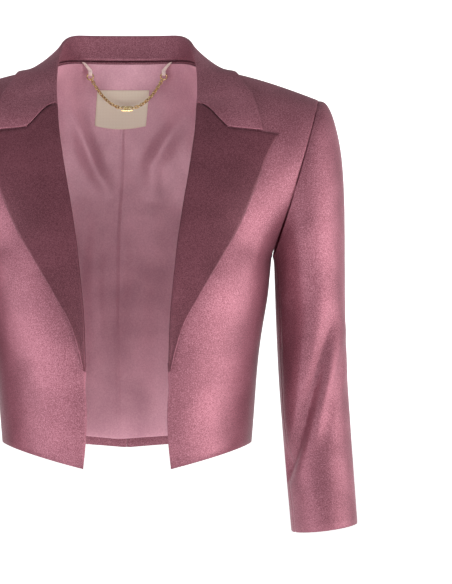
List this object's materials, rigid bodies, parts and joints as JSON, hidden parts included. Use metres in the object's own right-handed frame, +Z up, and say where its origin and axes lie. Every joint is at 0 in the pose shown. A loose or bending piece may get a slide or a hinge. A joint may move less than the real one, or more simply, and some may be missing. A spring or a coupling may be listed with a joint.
{
  "type": "spencer jacket",
  "caption": "Cropped open jacket in satin with a peak lapel, a folded collar and set-in sleeves, filled out as when worn, with a hanger chain inside the back neck that swings.",
  "frame": {"origin": "midway between the two side neck points, where the wearer's shoulders carry the jacket", "axes": "+X towards the wearer's left, -Y out of the front, +Z up"},
  "size_m": [0.4764, 0.2203, 0.523],
  "materials": {
    "satin": "heavy satin with a fine grain, dusky plum pink",
    "lining": "smooth thin lining satin, pale mauve pink",
    "label": "bare cream cotton label",
    "ribbon": "narrow pale pink ribbon",
    "chain": "polished gilt"
  },
  "bodies": {
    "jacket": {"back_left": "satin", "back_lining": "lining", "back_right": "satin", "collar": "satin", "front_left": "satin", "front_right": "satin", "hanger_tab_left": "ribbon", "hanger_tab_right": "ribbon", "label": "label", "lapel_left": "satin", "lapel_right": "satin", "sleeve_top_left": "satin", "sleeve_top_right": "satin", "sleeve_under_left": "satin", "sleeve_under_right": "satin"},
    "chain": {"chain_link_left_01": "chain", "chain_link_left_02": "chain", "chain_link_left_03": "chain", "chain_link_left_04": "chain", "chain_link_left_05": "chain", "chain_link_left_06": "chain", "chain_link_left_07": "chain", "chain_link_left_08": "chain", "chain_link_left_09": "chain", "chain_link_left_10": "chain", "chain_link_left_11": "chain", "chain_link_left_12": "chain", "chain_link_left_13": "chain", "chain_link_left_14": "chain", "chain_link_left_15": "chain", "chain_link_right_01": "chain", "chain_link_right_02": "chain", "chain_link_right_03": "chain", "chain_link_right_04": "chain", "chain_link_right_05": "chain", "chain_link_right_06": "chain", "chain_link_right_07": "chain", "chain_link_right_08": "chain", "chain_link_right_09": "chain", "chain_link_right_10": "chain", "chain_link_right_11": "chain", "chain_link_right_12": "chain", "chain_link_right_13": "chain", "chain_link_right_14": "chain", "chain_link_right_15": "chain", "chain_plate": "chain", "chain_ring_left": "chain", "chain_ring_right": "chain"}
  },
  "joints": [
    {"name": "chain_swing", "type": "hinge", "parent": "jacket", "child": "chain", "pos_m": [0, 0.0594, -0.0072], "axis": [-1, 0, 0], "range_deg": [-18, 140]}
  ]
}
